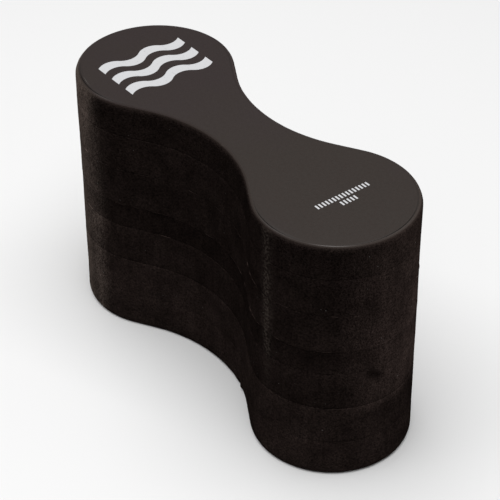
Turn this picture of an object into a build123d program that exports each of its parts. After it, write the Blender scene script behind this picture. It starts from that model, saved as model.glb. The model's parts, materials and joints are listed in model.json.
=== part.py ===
from build123d import *
import os
from math import acos, atan2, cos, degrees, hypot, radians, sin

# Pull buoy: a swimmer's leg float cut from a block of laminated closed-cell EVA foam.
#
# Seven foam sheets are bonded face to face with thin adhesive films, and the block is then cut
# to a figure-eight outline: two round lobes joined by a narrow waist that the thighs grip.
# Two ink prints are pressed flush into the top sheet.
#
# Row frame, in millimetres: +Z up through the stack, X along the figure eight, Y across it.
# The origin is the centre of the base face.

# Figure-eight outline
LENGTH = 235.0  # tip to tip along X
LOBE_RADIUS = 42.5  # each round end
WAIST_HALF = 18.0  # from the centre plane to the narrowest point
WAIST_RADIUS = 80.0  # the hollow that a thigh lies in

# Stack of sheets, from the base up
SHEET = 22.5
THIN_SHEET = 14.5
TOP_SHEET = 19.0
SHEETS = {
    "foam_sheet_1_base": SHEET,
    "foam_sheet_2": SHEET,
    "foam_sheet_3": SHEET,
    "foam_sheet_4_thin": THIN_SHEET,
    "foam_sheet_5": SHEET,
    "foam_sheet_6": SHEET,
    "foam_sheet_7_top": TOP_SHEET,
}
HEIGHT = sum(SHEETS.values())
BOND_FILM = 0.2  # each adhesive film, half of it taken from the sheet on either side
EDGE_RADIUS = 2.0  # soft edge round the top and base faces

# Ink, pressed flush into the top face
INK = 0.15

# Wave print: three stacked ribbons on one lobe, running across the buoy
RIBBONS = 3
RIBBON_PITCH = 12.5
RIBBON_WIDTH = 6.5
HALF_WAVE = 13.0
HALF_WAVES = 4
WAVE_RISE = 2.4
WAVE_PRINT_X = -74.5

# Batch ticks: two rows of plain short bars on the other lobe
TICK_LENGTH = 3.2
TICK_WIDTH = 1.0
TICK_PITCH = 2.1
TICK_ROWS = {77.3: 16, 82.2: 5}  # row position along X: ticks in the row
TICK_Y = 2.5  # middle of both rows across the buoy

LOBE_X = LENGTH / 2 - LOBE_RADIUS
WAIST_Y = WAIST_HALF + WAIST_RADIUS


def tangent_angle():
    """Angle of the lobe's outward normal where the straight flank leaves it, in degrees."""
    reach = hypot(LOBE_X, WAIST_Y)
    to_waist_centre = atan2(WAIST_Y, -LOBE_X)
    return degrees(to_waist_centre - acos((LOBE_RADIUS + WAIST_RADIUS) / reach))


def figure_eight(plane):
    """The outline: a quarter of it as lobe arc, straight flank and waist arc, then mirrored."""
    angle = tangent_angle()
    normal = (cos(radians(angle)), sin(radians(angle)))
    lobe_end = (LOBE_X + LOBE_RADIUS * normal[0], LOBE_RADIUS * normal[1])
    waist_start = (-WAIST_RADIUS * normal[0], WAIST_Y - WAIST_RADIUS * normal[1])
    with BuildSketch(plane) as outline:
        with BuildLine():
            CenterArc((LOBE_X, 0), LOBE_RADIUS, 0, angle)
            Line(lobe_end, waist_start)
            CenterArc((0, WAIST_Y), WAIST_RADIUS, angle - 180, 90 - angle)
            mirror(about=Plane.YZ)
            mirror(about=Plane.XZ)
        make_face()
    return outline.sketch


def wave_print():
    """Three wave ribbons, each between two copies of one chain of equal arcs."""
    across = Plane(origin=(WAVE_PRINT_X, 0, HEIGHT - INK), x_dir=(0, 1, 0), z_dir=(0, 0, 1))
    first_u = -HALF_WAVE * HALF_WAVES / 2
    with BuildPart() as ink:
        with BuildSketch(across):
            for ribbon in range(RIBBONS):
                low_v = (ribbon - (RIBBONS - 1) / 2) * RIBBON_PITCH - RIBBON_WIDTH / 2
                with BuildLine():
                    for v in (low_v, low_v + RIBBON_WIDTH):
                        for n in range(HALF_WAVES):
                            u = first_u + n * HALF_WAVE
                            rise = WAVE_RISE if n % 2 == 0 else -WAVE_RISE
                            SagittaArc((u, v), (u + HALF_WAVE, v), rise)
                    for u in (first_u, -first_u):
                        Line((u, low_v), (u, low_v + RIBBON_WIDTH))
                make_face()
        extrude(amount=INK)
    return ink


def batch_ticks_print():
    """Rows of plain bars on one middle line."""
    with BuildPart() as ink:
        with BuildSketch(Plane.XY.offset(HEIGHT - INK)):
            for x, count in TICK_ROWS.items():
                with Locations((x, TICK_Y)):
                    with GridLocations(0, TICK_PITCH, 1, count):
                        Rectangle(TICK_LENGTH, TICK_WIDTH)
        extrude(amount=INK)
    return ink


def foam_sheet(low, high, prints=()):
    """One cut sheet. The base sheet's lower rim and the top sheet's upper rim are rounded."""
    outline = figure_eight(Plane.XY.offset(low))
    with BuildPart() as sheet:
        add(outline)
        extrude(amount=high - low)
        if low == 0:
            fillet(sheet.edges().group_by(Axis.Z)[0], EDGE_RADIUS)
        if high == HEIGHT:
            fillet(sheet.edges().group_by(Axis.Z)[-1], EDGE_RADIUS)
        for ink in prints:
            add(ink.part, mode=Mode.SUBTRACT)
    return sheet


def bond_film(seam):
    """The adhesive film centred on one seam."""
    outline = figure_eight(Plane.XY.offset(seam - BOND_FILM / 2))
    with BuildPart() as film:
        add(outline)
        extrude(amount=BOND_FILM)
    return film


def write(name, piece):
    piece.part.label = name
    export_step(piece.part, f"parts/{name}.step")


def main():
    os.makedirs("parts", exist_ok=True)
    wave = wave_print()
    ticks = batch_ticks_print()
    write("wave_print", wave)
    write("batch_ticks_print", ticks)
    seam = 0.0
    for number, (name, thickness) in enumerate(SHEETS.items(), start=1):
        low = seam + BOND_FILM / 2 if number > 1 else 0
        seam += thickness
        top = number == len(SHEETS)
        high = HEIGHT if top else seam - BOND_FILM / 2
        write(name, foam_sheet(low, high, (wave, ticks) if top else ()))
        if not top:
            write(f"bond_film_{number}_{number + 1}", bond_film(seam))


main()
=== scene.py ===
import json
from math import acos, atan2, cos, hypot, pi, radians, sin, sqrt

import bpy
import numpy as np
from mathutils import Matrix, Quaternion, Vector


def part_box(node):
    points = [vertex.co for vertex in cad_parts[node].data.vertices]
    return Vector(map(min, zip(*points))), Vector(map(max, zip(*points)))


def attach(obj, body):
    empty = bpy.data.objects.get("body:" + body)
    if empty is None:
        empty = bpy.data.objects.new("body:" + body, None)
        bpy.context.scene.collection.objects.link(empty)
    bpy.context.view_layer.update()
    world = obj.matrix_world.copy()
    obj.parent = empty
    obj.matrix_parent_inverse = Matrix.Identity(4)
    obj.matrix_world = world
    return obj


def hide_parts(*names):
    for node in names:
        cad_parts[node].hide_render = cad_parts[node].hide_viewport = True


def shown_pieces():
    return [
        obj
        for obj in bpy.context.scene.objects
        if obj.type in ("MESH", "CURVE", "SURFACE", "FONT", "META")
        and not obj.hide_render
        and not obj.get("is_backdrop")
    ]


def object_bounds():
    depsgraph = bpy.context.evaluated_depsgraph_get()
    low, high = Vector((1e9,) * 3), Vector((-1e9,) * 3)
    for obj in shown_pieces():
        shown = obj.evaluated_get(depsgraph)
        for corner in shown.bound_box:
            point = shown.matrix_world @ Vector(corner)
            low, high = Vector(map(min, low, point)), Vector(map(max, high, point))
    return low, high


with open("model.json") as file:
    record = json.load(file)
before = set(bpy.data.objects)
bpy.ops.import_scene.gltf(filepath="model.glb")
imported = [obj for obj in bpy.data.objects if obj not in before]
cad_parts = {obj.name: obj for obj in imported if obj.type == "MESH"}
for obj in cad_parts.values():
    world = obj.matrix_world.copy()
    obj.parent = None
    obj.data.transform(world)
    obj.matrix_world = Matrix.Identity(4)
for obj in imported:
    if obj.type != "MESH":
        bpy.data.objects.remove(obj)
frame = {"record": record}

# A pull buoy: seven sheets of black EVA foam glued face to face, cut to a figure eight and
# printed on top. Every foam sheet, glue film and print is its own piece, in metres, in the row
# frame: +Z up through the sheets, X from lobe to lobe, the wave print on the -X lobe.

CAD_LOW, CAD_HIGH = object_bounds()
MM = 0.001

# The figure eight, read back from the CAD model
SADDLE = next(m for m in frame["record"]["mounts"] if m["name"] == "thigh_saddle_left")
HEIGHT = CAD_HIGH.z - CAD_LOW.z
LOBE_RADIUS = (CAD_HIGH.y - CAD_LOW.y) / 2
LOBE_X = (CAD_HIGH.x - CAD_LOW.x) / 2 - LOBE_RADIUS
WAIST_RADIUS = SADDLE["dims"]["r_mm"] * MM
WAIST_Y = SADDLE["pos_m"][1] + WAIST_RADIUS

FOAM_SHEETS = [s["node"] for s in frame["record"]["subparts"] if s["material_slot"] == "black_eva_foam"]
BOND_FILMS = [s["node"] for s in frame["record"]["subparts"] if s["material_slot"] == "bond_adhesive"]

# Mesh density
AROUND = 720  # points round the outline, a multiple of four
ROW_STEP = 1.1 * MM  # between rows of points up a sheet's wall
EDGE_ROWS = (0.0, 0.15 * MM, 0.35 * MM, 0.6 * MM, 0.95 * MM)  # closer rows next to a glued face
FACE_COLUMNS = 44  # points across the top and base faces


# ---------------------------------------------------------------- outline

def quadrant_point(along, tangent):
    """The outline's point and outward normal, this far from the +X tip towards the +Y waist."""
    lobe_arc = LOBE_RADIUS * tangent
    normal = (cos(tangent), sin(tangent))
    lobe_end = (LOBE_X + LOBE_RADIUS * normal[0], LOBE_RADIUS * normal[1])
    waist_start = (-WAIST_RADIUS * normal[0], WAIST_Y - WAIST_RADIUS * normal[1])
    flank = hypot(waist_start[0] - lobe_end[0], waist_start[1] - lobe_end[1])
    if along <= lobe_arc:
        turn = along / LOBE_RADIUS
        return (LOBE_X + LOBE_RADIUS * cos(turn), LOBE_RADIUS * sin(turn), cos(turn), sin(turn))
    if along <= lobe_arc + flank:
        share = (along - lobe_arc) / flank
        x = lobe_end[0] + share * (waist_start[0] - lobe_end[0])
        y = lobe_end[1] + share * (waist_start[1] - lobe_end[1])
        return (x, y, *normal)
    turn = tangent - (along - lobe_arc - flank) / WAIST_RADIUS
    return (-WAIST_RADIUS * cos(turn), WAIST_Y - WAIST_RADIUS * sin(turn), cos(turn), sin(turn))


def outline():
    """AROUND even points anticlockwise from the +X tip, their outward normals, and the girth."""
    tangent = atan2(WAIST_Y, -LOBE_X) - acos((LOBE_RADIUS + WAIST_RADIUS) / hypot(LOBE_X, WAIST_Y))
    flank = sqrt(LOBE_X**2 + WAIST_Y**2 - (LOBE_RADIUS + WAIST_RADIUS) ** 2)
    quarter = LOBE_RADIUS * tangent + flank + WAIST_RADIUS * (tangent - pi / 2)
    steps = AROUND // 4
    first = np.array([quadrant_point(quarter * n / steps, tangent) for n in range(steps + 1)])
    second = first[::-1][1:] * (-1, 1, -1, 1)
    upper = np.vstack((first, second))
    lower = upper[::-1][1:-1] * (1, -1, 1, -1)
    rows = np.vstack((upper, lower))
    return rows[:, :2], rows[:, 2:], 4 * quarter


POINTS, NORMALS, GIRTH = outline()
ALONG = np.arange(AROUND) * GIRTH / AROUND  # distance round from the +X tip


# ---------------------------------------------------------------- relief of the cut wall

class Field:
    """A smooth seeded random field, -1 to 1, on a lattice that closes round the outline."""

    def __init__(self, seed, around, up):
        self.lattice = np.random.default_rng(seed).uniform(-1, 1, (up + 2, around))
        self.around, self.up = around, up

    def at(self, along, height):
        """The field's values at these distances round the outline, at one height."""
        u = along / GIRTH * self.around
        v = np.clip(height / HEIGHT, 0, 1) * self.up
        iu, iv = np.floor(u).astype(int), int(v)
        fu, fv = u - iu, v - iv
        fu, fv = fu * fu * (3 - 2 * fu), fv * fv * (3 - 2 * fv)
        left, right = iu % self.around, (iu + 1) % self.around
        below, above = self.lattice[iv], self.lattice[iv + 1]
        below = below[left] * (1 - fu) + below[right] * fu
        above = above[left] * (1 - fu) + above[right] * fu
        return below * (1 - fv) + above * fv


FINE_STREAKS = Field(11, 240, 5)
BROAD_STREAKS = Field(12, 76, 7)
SOFT_WAVES = Field(13, 15, 6)
PORES = Field(14, 360, 96)
SCAR_BEADS = Field(15, 8, 34)
FILM_EDGE = Field(16, 150, 60)
CREASE_DEPTH = Field(17, 22, 1)

# How far each kind of relief stands out or goes in
FINE_STREAK_RELIEF = 0.025 * MM
BROAD_STREAK_RELIEF = 0.06 * MM
SOFT_WAVE_RELIEF = 0.22 * MM
PORE_RELIEF = 0.03 * MM
SCAR_RELIEF = 0.3 * MM
SEAM_GROOVE_DEPTH, SEAM_GROOVE_REACH = 0.12 * MM, 0.3 * MM
FAR_FROM_SEAMS = 1.0  # a distance at which no groove shows

# The scar runs up the near lobe where it touched the outer face of the uncut block
# Its pale tone in the cut foam is a painted highlight, laid over its real relief
SCAR_ALONG = GIRTH - LOBE_RADIUS * pi / 2
SCAR_HALF_WIDTH = 3.0 * MM
SCAR_DRIFT = 1.1 * MM  # how far it wanders to either side
SCAR_LOW, SCAR_FULL = 0.040, 0.075  # it and its painted highlight fade in between these heights
SCAR_FAINTEST, SCAR_STRONGEST = 0.12, 1.4  # the least that it fades to, and the most that it beads
SCAR_PALEST, SCAR_PALE_SPREAD, SCAR_PALE_GAIN = 0.093, 0.013, 0.8  # its relief and its painted highlight are strongest at this height

# A short slanting gouge near the +X tip, and a nick with its burr on the base rim at the waist
GOUGE_ALONG, GOUGE_HEIGHT = GIRTH - 7.8 * MM, 0.0628
GOUGE_SLOPE = radians(-38)
GOUGE_HALF_LENGTH, GOUGE_HALF_WIDTH, GOUGE_DEPTH = 5.8 * MM, 3.3 * MM, 1.2 * MM
NICK_ALONG, NICK_HEIGHT = GIRTH - 121.0 * MM, 1.5 * MM
NICK_HALF_WIDTH, NICK_DEPTH = 1.3 * MM, 1.1 * MM


def scar_strength(height):
    """How strongly the scar and its painted highlight show round the outline at this height."""
    fade = np.clip((height - SCAR_LOW) / (SCAR_FULL - SCAR_LOW), SCAR_FAINTEST, 1)
    beads = 0.7 + 0.7 * SCAR_BEADS.at(np.array([0.3 * GIRTH]), height)[0]
    beads += SCAR_PALE_GAIN * np.exp(-(((height - SCAR_PALEST) / SCAR_PALE_SPREAD) ** 2))
    beads = min(beads, SCAR_STRONGEST)
    drift = SCAR_DRIFT * SCAR_BEADS.at(np.array([0.7 * GIRTH]), height * 0.5)[0]
    return fade * beads * np.exp(-(((ALONG - SCAR_ALONG - drift) / SCAR_HALF_WIDTH) ** 2))


def dents(height):
    """Depth of the gouge and the nick round the outline at this height."""
    across, up = ALONG - GOUGE_ALONG, height - GOUGE_HEIGHT
    length = across * cos(GOUGE_SLOPE) + up * sin(GOUGE_SLOPE)
    width = -across * sin(GOUGE_SLOPE) + up * cos(GOUGE_SLOPE)
    gouge = GOUGE_DEPTH * np.exp(-((length / GOUGE_HALF_LENGTH) ** 4) - (width / GOUGE_HALF_WIDTH) ** 2)
    nick_up = (height - NICK_HEIGHT) / (2 * NICK_HALF_WIDTH)
    nick_across = (ALONG - NICK_ALONG) / NICK_HALF_WIDTH
    notch = np.exp(-(nick_across**2)) - 0.6 * np.exp(-((nick_across - 2) ** 2))
    return gouge + NICK_DEPTH * notch * np.exp(-(nick_up**2))


def relief(height, proud, edge_gap):
    """How far the cut wall stands out from the CAD outline at this height, all round.

    proud is the sheet's own step, and edge_gap the distance to its nearest glued face."""
    wall = FINE_STREAK_RELIEF * FINE_STREAKS.at(ALONG, height)
    wall += BROAD_STREAK_RELIEF * BROAD_STREAKS.at(ALONG, height)
    wall += SOFT_WAVE_RELIEF * SOFT_WAVES.at(ALONG, height)
    wall += PORE_RELIEF * PORES.at(ALONG, height)
    wall += SCAR_RELIEF * scar_strength(height) - dents(height)
    return wall + proud - SEAM_GROOVE_DEPTH * np.exp(-((edge_gap / SEAM_GROOVE_REACH) ** 2))


# ---------------------------------------------------------------- mesh building

# Where a sheet's materials stand in its mesh: the cut foam, and on the outer sheets their skins
CUT_SLOT, FACE_SKIN_SLOT, EDGE_SKIN_SLOT = 0, 1, 2
SHARP_ANGLE = radians(50)  # an edge sharper than this isn't smoothed


def ring(outward, height):
    """A loop of points: the outline moved outward by that much, at that height."""
    moved = POINTS + NORMALS * np.broadcast_to(outward, AROUND)[:, None]
    return np.column_stack((moved, np.broadcast_to(height, AROUND)))


class Mesh:
    """Points and faces of one closed piece, lofted ring by ring and closed by strips across Y."""

    def __init__(self):
        self.points, self.faces, self.slots = [], [], []
        self.marks = {"skin": [], "scar": [], "dent": [], "lip": [], "worn": []}

    def add_ring(self, points, slot=CUT_SLOT, **marks):
        """Adds a ring, joined to the one before it. marks say how far its surface is each kind."""
        start = len(self.points)
        self.points.extend(map(tuple, points))
        for label, values in self.marks.items():
            values.extend(np.broadcast_to(marks.get(label, 0.0), AROUND))
        if start:
            for n in range(AROUND):
                after = (n + 1) % AROUND
                self.faces.append((start - AROUND + n, start - AROUND + after, start + after, start + n))
                self.slots.append(slot)

    def close(self, first, columns, upward, height_at=None, slot=CUT_SLOT):
        """Fills the ring that starts at point `first` with strips that run across Y."""
        strips = []
        for n in range(AROUND // 2 + 1):
            left, right = first + n, first + (AROUND - n) % AROUND
            if left == right:
                strips.append([left] * (columns + 1))
                continue
            a, b = self.points[left], self.points[right]
            strip = [left]
            for k in range(1, columns):
                share = k / columns
                x, y, z = (p + (q - p) * share for p, q in zip(a, b))
                strip.append(len(self.points))
                self.points.append((x, y, height_at(x, y) if height_at else z))
                for label, values in self.marks.items():
                    values.append(1.0 if label == "skin" else 0.0)
            strips.append(strip + [right])
        for here, there in zip(strips, strips[1:]):
            for k in range(columns):
                corners = [here[k], there[k], there[k + 1], here[k + 1]]
                face = list(dict.fromkeys(corners if upward else corners[::-1]))
                self.faces.append(face)
                self.slots.append(slot)

    def build(self, name, materials):
        """Makes the Blender object, with the marks as attributes that its materials read."""
        mesh = bpy.data.meshes.new(name)
        mesh.from_pydata(self.points, [], self.faces)
        for material in materials:
            mesh.materials.append(material)
        mesh.polygons.foreach_set("material_index", self.slots)
        mesh.polygons.foreach_set("use_smooth", [True] * len(self.faces))
        for label, values in self.marks.items():
            mesh.attributes.new(label, "FLOAT", "POINT").data.foreach_set("value", values)
        mesh.update()
        mesh.set_sharp_from_angle(angle=SHARP_ANGLE)
        piece = bpy.data.objects.new(name, mesh)
        bpy.context.scene.collection.objects.link(piece)
        return piece


# ---------------------------------------------------------------- materials

class Nodes:
    """Short calls for building one material's node tree."""

    def __init__(self, name):
        self.material = bpy.data.materials.new(name)
        self.material.use_nodes = True
        self.tree = self.material.node_tree
        self.shader = self.tree.nodes["Principled BSDF"]
        self.place = self.tree.nodes.new("ShaderNodeTexCoord").outputs["Object"]

    def link(self, value, socket):
        """Links another node's output to the socket, or sets the socket to a plain value."""
        if isinstance(value, bpy.types.NodeSocket):
            self.tree.links.new(value, socket)
        else:
            socket.default_value = value

    def add(self, kind, inputs, output=0, **settings):
        node = self.tree.nodes.new(kind)
        for key, value in settings.items():
            setattr(node, key, value)
        for key, value in inputs.items():
            self.link(value, node.inputs[key])
        return node.outputs[output]

    def stretched(self, x, y, z):
        return self.add("ShaderNodeMapping", {"Vector": self.place, "Scale": (x, y, z)})

    def noise(self, scale, detail=2.0, rough=0.5, vector=None):
        inputs = {"Vector": vector or self.place, "Scale": scale, "Detail": detail, "Roughness": rough}
        return self.add("ShaderNodeTexNoise", inputs)

    def cells(self, scale, **settings):
        inputs = {"Vector": self.place, "Scale": scale}
        return self.add("ShaderNodeTexVoronoi", inputs, "Distance", **settings)

    def attribute(self, name):
        return self.add("ShaderNodeAttribute", {}, "Fac", attribute_name=name)

    def plus(self, a, b):
        return self.add("ShaderNodeMath", {0: a, 1: b}, operation="ADD")

    def times(self, a, b):
        return self.add("ShaderNodeMath", {0: a, 1: b}, operation="MULTIPLY")

    def axis(self, name):
        return self.add("ShaderNodeSeparateXYZ", {"Vector": self.place}, name)

    def remap(self, value, low, high, to_low=0.0, to_high=1.0):
        inputs = {"Value": value, "From Min": low, "From Max": high, "To Min": to_low, "To Max": to_high}
        return self.add("ShaderNodeMapRange", inputs, "Result")

    def shaded(self, colour, shade):
        """The colour times a grey."""
        grey = self.add("ShaderNodeCombineColor", {0: shade, 1: shade, 2: shade})
        return self.mix(1.0, colour, grey, "MULTIPLY")

    def mix(self, share, a, b, blend="MIX"):
        node = self.tree.nodes.new("ShaderNodeMix")
        node.data_type, node.blend_type = "RGBA", blend
        for value, socket in ((share, node.inputs[0]), (a, node.inputs[6]), (b, node.inputs[7])):
            self.link(value, socket)
        return node.outputs[2]

    def bump(self, height, strength, distance, normal=None):
        inputs = {"Height": height, "Strength": strength, "Distance": distance}
        if normal is not None:
            inputs["Normal"] = normal
        return self.add("ShaderNodeBump", inputs)

    def finish(self, **inputs):
        """Sets the shader's inputs, each named with _ for a space, and returns the material."""
        for key, value in inputs.items():
            self.link(value, self.shader.inputs[key.replace("_", " ")])
        return self.material


def warm_black(value):
    """The cut foam's colour at this lightness: a black that leans to brown."""
    return (value * 1.43, value, value * 0.88, 1)


SKIN_TONE = (0.0127, 0.0094, 0.0082, 1)
# A painted highlight: the scar's pale tone
SCAR_TONE = (0.034, 0.027, 0.023, 1)
# Painted shade in the crease
CREASE_TONE = (0.0016, 0.0012, 0.0010, 1)
# A painted highlight on the lip
RUBBED_TONE = (0.0560, 0.0510, 0.0490, 1)
LINT_TONE = (0.30, 0.29, 0.28, 1)

# The stretches along X over which a cut wall's tone changes, as it nears the waist, the +X lobe
# and the -X tip. The change is painted light and shade
TO_WAIST = (-0.045, 0.005)
TO_NEAR_LOBE = (0.060, 0.088)
TO_FAR_TIP = (-0.069, -0.080)


def cut_foam(name, foot_tone, head_tone, shares, low, high):
    """Cut closed-cell foam between two heights: open cells, faint streaks from the blade, some lint."""
    n = Nodes(name)
    tone = n.mix(n.remap(n.axis("Z"), low, high), warm_black(foot_tone), warm_black(head_tone))
    tip_share, waist_share, near_share = shares
    across = n.axis("X")
    # Painted light and shade along X: the tone drops into the shaded waist, and is scaled at the -X tip
    # and on the +X lobe for how the lights fall there
    to_waist = n.remap(across, *TO_WAIST, 1.0, waist_share)
    to_near = n.remap(across, *TO_NEAR_LOBE, 0.0, near_share - waist_share)
    to_tip = n.remap(across, *TO_FAR_TIP, 1.0, tip_share)
    length_share = n.times(n.plus(to_waist, to_near), to_tip)
    mottle = n.remap(n.noise(70, 5, 0.6), 0.3, 0.7, 0.66, 1.34)
    streaks = n.remap(n.noise(380, 3, vector=n.stretched(1, 1, 0.07)), 0.3, 0.7, 0.87, 1.13)
    cell_grain = n.remap(n.noise(1000, 2, 0.7), 0.3, 0.7, 0.35, 1.7)
    # Painted shade in the gouge and the nick
    hollow = n.remap(n.attribute("dent"), 0.0, 1.0, 1.0, 0.35)
    shade = n.times(n.times(mottle, streaks), n.times(cell_grain, hollow))
    colour = n.shaded(tone, n.times(shade, length_share))
    # A painted highlight along the scar, broken into flecks
    flecks = n.remap(n.noise(700, 3, 0.7), 0.46, 0.6, 0.08, 1.0)
    colour = n.mix(n.times(n.attribute("scar"), flecks), colour, SCAR_TONE)
    colour = n.mix(n.attribute("skin"), colour, SKIN_TONE)
    lint = n.remap(n.cells(300), 0.08, 0.03)
    rare = n.remap(n.noise(60, 2), 0.54, 0.66)
    colour = n.mix(n.times(n.times(lint, rare), 0.45), colour, LINT_TONE)
    cells = n.bump(n.cells(1150), 0.6, 0.00035)
    grain = n.bump(n.noise(700, 3, 0.7), 0.5, 0.0005, cells)
    cuts = n.bump(n.noise(300, 3, vector=n.stretched(1, 1, 0.05)), 0.2, 0.0006, grain)
    return n.finish(Base_Color=colour, Roughness=0.9, Specular_IOR_Level=0.0, Normal=cuts)


def foam_skin(name, sheen, cool, warm):
    """The closed skin on the block's outer faces: matte, with a very fine pebble.

    It blends from cool to warm in soft blotches and towards the +X lobe. The crease has painted
    shade, some spots of the edge skin are dimmed with painted shade, and the lip has a painted highlight."""
    n = Nodes(name)
    blotches = n.plus(n.noise(17, 4), n.times(n.axis("X"), 2.0))
    colour = n.mix(n.remap(blotches, 0.30, 0.65), cool, warm)
    # Painted shade that dims the edge skin to the face skin's tone in spots
    colour = n.mix(n.attribute("worn"), colour, SKIN_TONE)
    # Painted shade in the crease
    colour = n.mix(n.attribute("dent"), colour, CREASE_TONE)
    # A painted highlight on the lip
    colour = n.mix(n.attribute("lip"), colour, RUBBED_TONE)
    colour = n.shaded(colour, n.remap(n.noise(1300, 2, 0.6), 0.25, 0.75, 0.9, 1.1))
    roughness = n.remap(n.noise(500, 2), 0.3, 0.7, 0.5, 0.62)
    pebble = n.bump(n.cells(1500, feature="SMOOTH_F1"), 0.3, 0.0001)
    fine = n.bump(n.noise(900, 3, 0.6), 0.25, 0.00015, pebble)
    return n.finish(Base_Color=colour, Roughness=roughness, Specular_IOR_Level=sheen, Normal=fine)


def glue():
    """The squeezed edge of a bonding film, in places lighter than the foam."""
    n = Nodes("bond_glue")
    patches = n.remap(n.noise(90, 5, 0.7), 0.50, 0.64)
    colour = n.mix(patches, warm_black(0.006), warm_black(0.021))
    beads = n.bump(n.noise(900, 2), 0.4, 0.0002)
    return n.finish(Base_Color=colour, Roughness=0.7, Specular_IOR_Level=0.0, Normal=beads)


def printed_ink():
    """White screen-printed ink: opaque, with the foam's fine pebble showing through."""
    n = Nodes("white_ink")
    wear = n.remap(n.noise(1100, 3, 0.65), 0.28, 0.4)
    colour = n.mix(wear, (0.40, 0.40, 0.41, 1), (0.575, 0.578, 0.590, 1))
    pebble = n.bump(n.cells(1500, feature="SMOOTH_F1"), 0.25, 0.0001)
    return n.finish(Base_Color=colour, Roughness=0.55, Specular_IOR_Level=0.35, Normal=pebble)


# ---------------------------------------------------------------- the foam sheets

# How far each sheet stands out from the outline, the tone of its cut wall at its foot and at its
# head, and the shares of that tone at the -X tip, at the waist and on the +X lobe, which are painted
# light and shade
SHEET_LOOK = {
    "foam_sheet_1_base": (0.02 * MM, 0.0093, 0.0098, (0.47, 0.92, 1.08)),
    "foam_sheet_2": (0.06 * MM, 0.0094, 0.0102, (0.57, 0.80, 0.93)),
    "foam_sheet_3": (-0.03 * MM, 0.0068, 0.0086, (0.66, 0.71, 0.80)),
    "foam_sheet_4_thin": (-0.08 * MM, 0.0051, 0.0043, (0.95, 0.88, 1.20)),
    "foam_sheet_5": (0.06 * MM, 0.0062, 0.0050, (0.97, 0.94, 1.12)),
    "foam_sheet_6": (0.00 * MM, 0.0058, 0.0062, (0.95, 0.90, 0.97)),
    "foam_sheet_7_top": (0.03 * MM, 0.0050, 0.0046, (1.65, 0.92, 1.00)),
}

# The block's soft edge is a quarter ellipse, from the face's 0 degrees to the wall's 90. The skin
# ends part of the way down it
EDGE_INSET = 2.0 * MM
EDGE_DROP = 3.6 * MM
EDGE_STEPS = 15
SKIN_ENDS = (radians(31), radians(58))  # turns down the ellipse between which skin becomes cut foam
LIP_ENDS = radians(16)  # the painted highlight on the lip stays above this turn
SKIN_SINKS, SKIN_SWELLS = 0.09 * MM, 0.035 * MM  # the top face below the CAD top, and its swell
BASE_RINGS = (5.5 * MM, 4.2 * MM)  # distances in from the wall, on the base

# The pressed crease just inside the top edge: distances in from the wall and depths, both in
# millimetres, and how much painted shade it has there
CREASE = [(2.12, 0.0, 0.0), (2.24, 0.16, 0.8), (2.42, 0.32, 1.0), (2.62, 0.16, 0.8), (2.80, 0.0, 0.0)]
CREASE_ELSEWHERE = 0.12  # its strength away from its spots

# Spots round the top edge, each a share of the girth, a spread and a strength: where the crease is
# deepest and has most painted shade, where the lip outside it has a painted highlight, and where
# the edge skin is dimmed with painted shade
CREASE_SPOTS = ((0.608, 0.028, 1.0), (0.884, 0.026, 1.0), (0.016, 0.034, 0.7))
LIP_SPOTS = ((0.630, 0.012, 0.3), (0.895, 0.022, 0.35), (0.947, 0.016, 1.0), (0.010, 0.030, 0.15))
# Where the edge skin is dimmed back towards the face skin's tone: painted shade
WORN_SPOTS = ((0.592, 0.036, 1.0),)


def skin_height(x, y):
    """Height of the top face, which dips and swells by a few hundredths of a millimetre."""
    swell = sin(x / 0.031 + 1.3) * cos(y / 0.019 + x / 0.05) + 0.6 * sin(y / 0.011 - x / 0.023)
    return HEIGHT - SKIN_SINKS + SKIN_SWELLS * swell


def wall_heights(low, high):
    """Row heights up a sheet's wall, closer together near its two edges."""
    first, last = low + EDGE_ROWS[-1], high - EDGE_ROWS[-1]
    rows = round((last - first) / ROW_STEP)
    middle = np.linspace(first, last, rows + 1)[1:-1]
    return [low + gap for gap in EDGE_ROWS] + list(middle) + [high - gap for gap in reversed(EDGE_ROWS)]


def at_spots(spots):
    """Strength round the outline of something that peaks at these spots."""
    strength = np.zeros(AROUND)
    for middle, spread, peak in spots:
        away = (ALONG / GIRTH - middle + 0.5) % 1 - 0.5
        strength += peak * np.exp(-((away / spread) ** 2))
    return strength


def rounded_edge(mesh, face_height, upward, proud):
    """Rings over the soft edge of the block: up from the wall to the top face, or from the base up."""
    turns = [radians(90) * k / EDGE_STEPS for k in range(EDGE_STEPS + 1)]
    # A painted highlight on the lip, in spots
    lip = at_spots(LIP_SPOTS)
    # Painted shade that dims the edge skin in spots
    worn = at_spots(WORN_SPOTS)
    for turn in reversed(turns) if upward else turns:
        inset = EDGE_INSET * (1 - sin(turn))
        drop = EDGE_DROP * (1 - cos(turn))
        height = face_height - drop if upward else face_height + drop
        fade = sin(turn)
        outward = relief(height, proud, FAR_FROM_SEAMS) * fade - inset
        skin = np.clip((SKIN_ENDS[1] - turn) / (SKIN_ENDS[1] - SKIN_ENDS[0]), 0, 1)
        wall_side_turn = turn + radians(90) / EDGE_STEPS if upward else turn
        slot = EDGE_SKIN_SLOT if wall_side_turn <= SKIN_ENDS[0] else CUT_SLOT
        rubbed = lip if upward and turn < LIP_ENDS else 0.0
        scar = scar_strength(height) * fade
        mesh.add_ring(ring(outward, height), slot, skin=skin, scar=scar, lip=rubbed, worn=worn)


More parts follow.
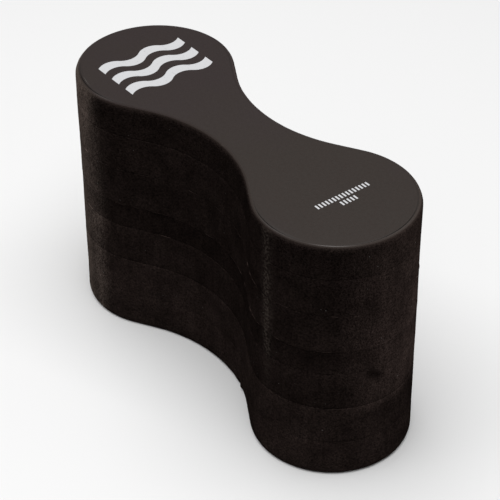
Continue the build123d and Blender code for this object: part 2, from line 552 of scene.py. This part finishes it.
def foam_sheet(name, skins):
    """One sheet: its cut wall, its glued faces, and on the outer sheets the rounded edge and skin."""
    proud, foot_tone, head_tone, shares = SHEET_LOOK[name]
    low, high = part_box(name)
    base, top = low.z < CAD_LOW.z + MM, high.z > CAD_HIGH.z - MM
    mesh = Mesh()
    wall_low = low.z + EDGE_DROP if base else low.z
    wall_high = high.z - EDGE_DROP if top else high.z
    if base:
        for inset in BASE_RINGS:
            mesh.add_ring(ring(-inset, low.z), FACE_SKIN_SLOT, skin=1.0)
        rounded_edge(mesh, low.z, False, proud)
    for height in wall_heights(wall_low, wall_high):
        if base and height == wall_low or top and height == wall_high:
            continue  # the rounded edge has a ring there
        gap = min(FAR_FROM_SEAMS if base else height - low.z, FAR_FROM_SEAMS if top else high.z - height)
        # Painted shade in the gouge and the nick, as deep as they go in
        hollow = np.clip(dents(height) / GOUGE_DEPTH, 0, 1)
        wall = ring(relief(height, proud, gap), height)
        mesh.add_ring(wall, scar=scar_strength(height), dent=hollow)
    if top:
        rounded_edge(mesh, high.z, True, proud)
        # The crease is pressed in, and its darkness is painted shade
        pressed = CREASE_ELSEWHERE * (1 + CREASE_DEPTH.at(ALONG, 0)) + at_spots(CREASE_SPOTS)
        pressed = np.clip(pressed, 0, 1)
        for inset, depth, darkness in CREASE:
            loop = ring(-inset * MM, 0)
            loop[:, 2] = [skin_height(x, y) for x, y in loop[:, :2]]
            loop[:, 2] -= depth * MM * pressed
            mesh.add_ring(loop, FACE_SKIN_SLOT, skin=1.0, dent=pressed * darkness)
    last = len(mesh.points) - AROUND
    if base:
        mesh.close(0, FACE_COLUMNS, upward=False, slot=FACE_SKIN_SLOT)
    else:
        mesh.close(0, 1, upward=False)
    if top:
        mesh.close(last, FACE_COLUMNS, upward=True, height_at=skin_height, slot=FACE_SKIN_SLOT)
    else:
        mesh.close(last, 1, upward=True)
    cut = cut_foam(f"cut_{name}", foot_tone, head_tone, shares, low.z, high.z)
    piece = mesh.build(f"{name}_cut", [cut, *skins] if base or top else [cut])
    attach(piece, "root")
    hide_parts(name)


FILM_BEAD = 0.1 * MM  # how far the middle of a film's edge stands out

# How far each glue film reaches past the outline, and how ragged its edge is
FILM_LOOK = {
    "bond_film_1_2": (-0.06 * MM, 0.22 * MM),
    "bond_film_2_3": (-0.30 * MM, 0.12 * MM),
    "bond_film_3_4": (-0.12 * MM, 0.20 * MM),
    "bond_film_4_5": (0.08 * MM, 0.24 * MM),
    "bond_film_5_6": (-0.04 * MM, 0.32 * MM),
    "bond_film_6_7": (-0.34 * MM, 0.12 * MM),
}


def bond_film(name, material):
    """One film of glue between two sheets, whose edge has squeezed out unevenly."""
    reach, ragged = FILM_LOOK[name]
    low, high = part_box(name)
    middle = (low.z + high.z) / 2
    edge = reach + ragged * FILM_EDGE.at(ALONG, middle)
    edge += SOFT_WAVE_RELIEF * SOFT_WAVES.at(ALONG, middle) - dents(middle)
    mesh = Mesh()
    mesh.add_ring(ring(edge - FILM_BEAD, low.z))
    mesh.add_ring(ring(edge, middle))
    mesh.add_ring(ring(edge - FILM_BEAD, high.z))
    last = len(mesh.points) - AROUND
    mesh.close(0, 1, upward=False)
    mesh.close(last, 1, upward=True)
    piece = mesh.build(f"{name}_glue", [material])
    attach(piece, "root")
    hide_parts(name)


# ---------------------------------------------------------------- the prints

INK_PROUD = 0.035 * MM
INK_DEPTH = 0.10 * MM

RIBBONS = 3
RIBBON_PITCH = 12.5 * MM
RIBBON_WIDTH = 6.5 * MM
HALF_WAVES = 4
WAVE_RISE = 2.4 * MM
HALF_WAVE_STEPS, RIBBON_STEPS = 22, 5  # faces along a half wave, and across a ribbon

TICK_LENGTH = 3.2 * MM
TICK_WIDTH = 1.0 * MM
TICK_PITCH = 2.1 * MM
TICK_COUNTS = (16, 5)  # in the row nearer the middle of the buoy, and in the other
TICK_LENGTH_STEPS, TICK_WIDTH_STEPS = 4, 2


def ink_slab(points, faces, columns):
    """Adds a thin closed slab of ink over a grid of (x, y) places, given as a list of columns."""
    start, width, length = len(points), len(columns[0]), len(columns)
    for level in (INK_PROUD, -INK_DEPTH):
        points.extend((x, y, skin_height(x, y) + level) for column in columns for x, y in column)

    def top(i, j):
        return start + i * width + j

    def under(i, j):
        return top(i, j) + width * length

    for i in range(length - 1):
        for j in range(width - 1):
            faces.append((top(i, j), top(i + 1, j), top(i + 1, j + 1), top(i, j + 1)))
            faces.append((under(i, j), under(i, j + 1), under(i + 1, j + 1), under(i + 1, j)))
    rim = [(i, 0) for i in range(length)] + [(length - 1, j) for j in range(1, width)]
    rim += [(i, width - 1) for i in range(length - 2, -1, -1)] + [(0, j) for j in range(width - 2, 0, -1)]
    for a, b in zip(rim, rim[1:] + rim[:1]):
        faces.append((top(*b), top(*a), under(*a), under(*b)))


def ink_piece(name, node, points, faces, material):
    """Makes the Blender object of one print."""
    mesh = bpy.data.meshes.new(name)
    mesh.from_pydata(points, [], faces)
    mesh.materials.append(material)
    mesh.update()
    piece = bpy.data.objects.new(name, mesh)
    bpy.context.scene.collection.objects.link(piece)
    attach(piece, "root")
    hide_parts(node)
    return piece


def wave_print(material):
    """Three wave ribbons across the -X lobe, each edge a chain of equal arcs."""
    low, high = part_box("wave_print")
    middle_x = (low.x + high.x) / 2
    half_wave = (high.y - low.y) / HALF_WAVES
    arc_radius = (half_wave**2 / 4 + WAVE_RISE**2) / (2 * WAVE_RISE)
    points, faces = [], []
    for ribbon in range(RIBBONS):
        foot = middle_x - ((ribbon - (RIBBONS - 1) / 2) * RIBBON_PITCH - RIBBON_WIDTH / 2)
        columns = []
        for k in range(HALF_WAVES * HALF_WAVE_STEPS + 1):
            wave, share = divmod(k / HALF_WAVE_STEPS, 1)
            across = (share - 0.5) * half_wave
            rise = sqrt(arc_radius**2 - across**2) - (arc_radius - WAVE_RISE)
            edge = foot - rise if wave % 2 == 0 else foot + rise
            y = low.y + k / HALF_WAVE_STEPS * half_wave
            columns.append([(edge - RIBBON_WIDTH * j / RIBBON_STEPS, y) for j in range(RIBBON_STEPS + 1)])
        ink_slab(points, faces, columns)
    return ink_piece("wave_print_ink", "wave_print", points, faces, material)


def batch_ticks(material):
    """Two rows of plain bars on the +X lobe."""
    low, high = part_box("batch_ticks_print")
    points, faces = [], []
    rows = (low.x + TICK_LENGTH / 2, high.x - TICK_LENGTH / 2)
    middle_y = (low.y + high.y) / 2
    for x, count in zip(rows, TICK_COUNTS):
        xs = [x + TICK_LENGTH * (i / TICK_LENGTH_STEPS - 0.5) for i in range(TICK_LENGTH_STEPS + 1)]
        for n in range(count):
            y = middle_y + (n - (count - 1) / 2) * TICK_PITCH
            ys = [y + TICK_WIDTH * (j / TICK_WIDTH_STEPS - 0.5) for j in range(TICK_WIDTH_STEPS + 1)]
            ink_slab(points, faces, [[(x, y) for y in ys] for x in xs])
    return ink_piece("batch_ticks_ink", "batch_ticks_print", points, faces, material)


# ---------------------------------------------------------------- studio

CENTRE = (CAD_LOW + CAD_HIGH) / 2
FLOOR_SIZE = 8.0
CAMERA_AZIMUTH = radians(52.466)
CAMERA_ELEVATION = radians(37.600)
CAMERA_ROLL = radians(-0.374)
CAMERA_DISTANCE = 1.03295
CAMERA_AIM = Vector((4.85 * MM, 1.55 * MM, -3.78 * MM))  # from the object's centre
CAMERA_LENS = 139.985

SKY_STRENGTH = 0.3
SOFTBOX_AZIMUTH, SOFTBOX_DISTANCE = radians(20), 1.5
SPOT_CONE, SPOT_RADIUS, SPOT_DISTANCE = radians(160), 0.001, 1.3

# The wash lights the floor and the ink, and the overhead box the foam
PALE_WASH = {"elevation": radians(84), "size": 1.6, "power": 27}
OVERHEAD = {"elevation": radians(86), "size": 0.6, "power": 46}

# The upright edge of this spot's cone falls on the -X lobe, just short of the flank that the
# camera sees
LEFT_SPOT = {
    "place": (radians(-71), radians(3)),
    "aim": Vector((-1.3700, 0.5671, 0.1312)),
    "blend": 0.0001,
    "power": 450,
    "tint": (0.89, 1.0, 0.97),
}

# The lower edge of this one's crosses the +X lobe about 45 mm up
RIGHT_SPOT = {
    "place": (radians(138), radians(9)),
    "aim": Vector((0.6355, 0.671, 1.210)),
    "blend": 0.01,
    "power": 105,
    "tint": (1, 1, 1),
}


def direction(azimuth, elevation):
    """Unit vector from the object towards a place seen at this azimuth and elevation."""
    return Vector((sin(azimuth) * cos(elevation), -cos(azimuth) * cos(elevation), sin(elevation)))


def camera():
    """The camera, at the photograph's viewing angle."""
    data = bpy.data.cameras.new("camera")
    data.sensor_width = 36
    data.lens = CAMERA_LENS
    data.clip_start, data.clip_end = 0.05, 50
    rig = bpy.data.objects.new("camera", data)
    back = direction(CAMERA_AZIMUTH, CAMERA_ELEVATION)
    rig.location = CENTRE + CAMERA_AIM + back * CAMERA_DISTANCE
    rig.rotation_mode = "QUATERNION"
    rig.rotation_quaternion = (-back).to_track_quat("-Z", "Y") @ Quaternion((0, 0, 1), CAMERA_ROLL)
    bpy.context.scene.collection.objects.link(rig)
    bpy.context.scene.camera = rig


def softbox(name, only, elevation, size, power):
    """A square soft light overhead, which faces the object's centre and lights only that collection."""
    data = bpy.data.lights.new(name, "AREA")
    data.shape = "SQUARE"
    data.size = size
    data.energy = power
    lamp = bpy.data.objects.new(name, data)
    back = direction(SOFTBOX_AZIMUTH, elevation)
    lamp.location = CENTRE + back * SOFTBOX_DISTANCE
    lamp.rotation_mode = "QUATERNION"
    lamp.rotation_quaternion = (-back).to_track_quat("-Z", "Y")
    bpy.context.scene.collection.objects.link(lamp)
    lamp.light_linking.receiver_collection = only


def side_spot(name, only, place, aim, blend, power, tint):
    """A wide spotlight, aimed past the object so that only the edge of its cone falls there.

    place is its azimuth and elevation, and only the collection that it lights."""
    data = bpy.data.lights.new(name, "SPOT")
    data.spot_size, data.spot_blend = SPOT_CONE, blend
    data.shadow_soft_size = SPOT_RADIUS
    data.energy = power
    data.color = tint
    lamp = bpy.data.objects.new(name, data)
    lamp.location = CENTRE + direction(*place) * SPOT_DISTANCE
    lamp.rotation_mode = "QUATERNION"
    lamp.rotation_quaternion = (aim - lamp.location).to_track_quat("-Z", "Y")
    bpy.context.scene.collection.objects.link(lamp)
    lamp.light_linking.receiver_collection = only


def studio(prints):
    """The floor and the lights. The foam has lights of its own, too strong for the floor and ink."""
    bpy.ops.mesh.primitive_plane_add(size=FLOOR_SIZE, location=(0, 0, CAD_LOW.z))
    floor = bpy.context.object
    floor.name = "studio_floor"
    n = Nodes("studio_floor")
    tint = n.mix(n.noise(3, 2), (0.86, 0.86, 0.86, 1), (0.88, 0.88, 0.88, 1))
    floor.data.materials.append(n.finish(Base_Color=tint, Roughness=0.9, Specular_IOR_Level=0.1))
    floor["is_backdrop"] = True
    world = bpy.data.worlds.new("studio")
    world.use_nodes = True
    sky = world.node_tree.nodes["Background"].inputs
    sky["Color"].default_value = (1, 1, 1, 1)
    sky["Strength"].default_value = SKY_STRENGTH
    bpy.context.scene.world = world
    pale = bpy.data.collections.new("floor_and_ink")
    pale.objects.link(floor)
    foam = bpy.data.collections.new("foam_and_glue")
    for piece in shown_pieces():
        (pale if piece in prints else foam).objects.link(piece)
    softbox("pale_wash", pale, **PALE_WASH)
    softbox("overhead", foam, **OVERHEAD)
    side_spot("left_spot", foam, **LEFT_SPOT)
    side_spot("right_spot", foam, **RIGHT_SPOT)
    bpy.context.scene.view_settings.view_transform = "Standard"


# ---------------------------------------------------------------- assembly

face_skin = foam_skin("foam_skin", 0.13, (0.0128, 0.0091, 0.0087, 1), (0.0128, 0.0096, 0.0080, 1))
# The edge skin is a lighter copy of the face skin without its sheen: painted light where the rounded edge
# catches the light
edge_skin = foam_skin("foam_skin_edge", 0.0, (0.0187, 0.0146, 0.0142, 1), (0.0187, 0.0151, 0.0134, 1))
for sheet in FOAM_SHEETS:
    foam_sheet(sheet, (face_skin, edge_skin))
film_glue = glue()
for film in BOND_FILMS:
    bond_film(film, film_glue)
ink = printed_ink()
prints = [wave_print(ink), batch_ticks(ink)]
camera()
studio(prints)
